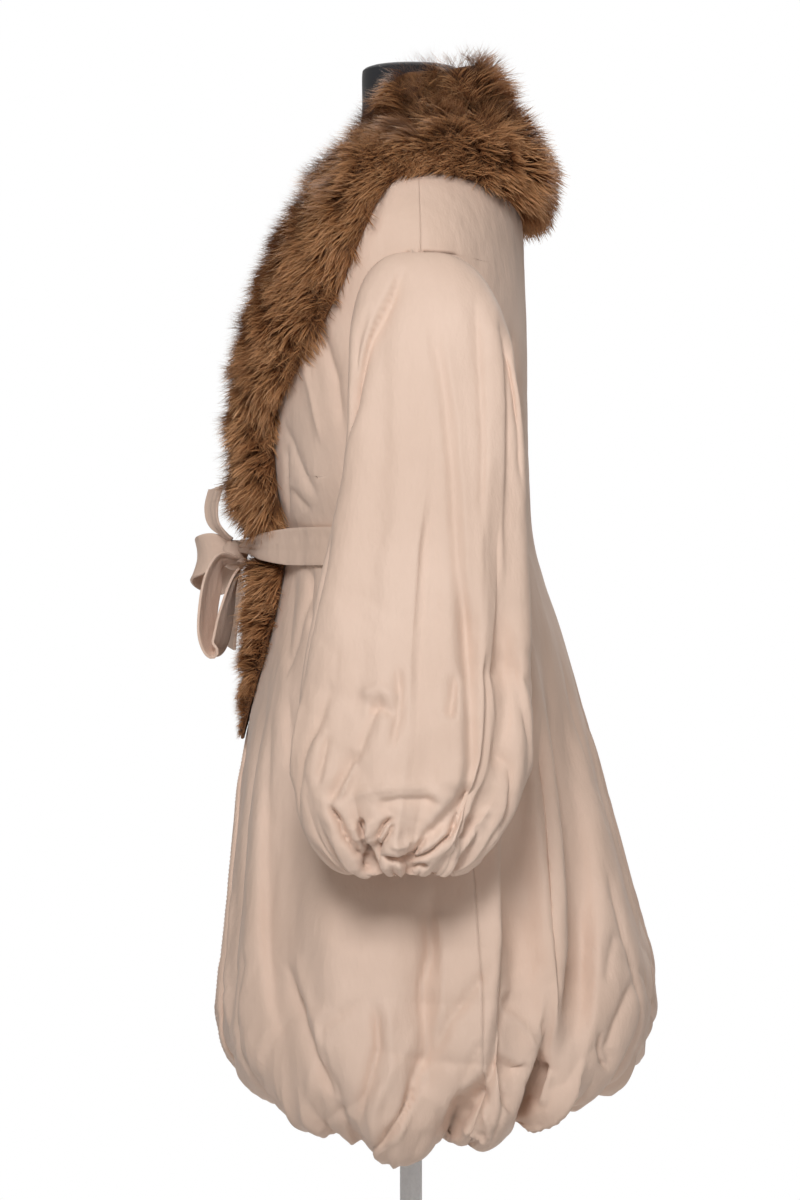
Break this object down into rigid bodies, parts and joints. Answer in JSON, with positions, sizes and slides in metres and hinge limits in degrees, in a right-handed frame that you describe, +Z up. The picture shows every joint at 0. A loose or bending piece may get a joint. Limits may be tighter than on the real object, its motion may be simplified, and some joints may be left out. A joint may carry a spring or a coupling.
{
  "type": "fur-collared coat on dress form",
  "caption": "Loose belted coat with balloon sleeves, a gathered bubble hem and a faux-fur shawl collar, worn by a limbless dress form on a pole stand.",
  "frame": {"origin": "centre of the underside of the stand's round foot, on the floor, below the pole and the form's neck", "axes": "+Z up, -Y towards the coat's front, +X towards the wearer's left"},
  "size_m": [0.7416, 0.4667, 1.5004],
  "materials": {
    "coat_cloth": "tightly woven beige cotton with a soft sheen",
    "faux_fur": "long brown pile with ginger tips",
    "form_cover": "smooth black jersey over a hard form",
    "stand_lacquer": "white lacquered steel"
  },
  "bodies": {
    "root": {"back": "coat_cloth", "front_left": "coat_cloth", "front_right": "coat_cloth", "sleeve_left": "coat_cloth", "sleeve_right": "coat_cloth", "cuff_left": "coat_cloth", "cuff_right": "coat_cloth", "sash_left": "coat_cloth", "sash_right": "coat_cloth", "bow_knot": "coat_cloth", "bow_loop_left": "coat_cloth", "bow_loop_right": "coat_cloth", "sash_end_rising": "coat_cloth", "sash_end_hanging": "coat_cloth", "fur_collar_left": "faux_fur", "fur_collar_right": "faux_fur", "dress_form": "form_cover", "stand_pole": "stand_lacquer", "stand_socket": "stand_lacquer", "stand_base": "stand_lacquer"}
  },
  "joints": []
}
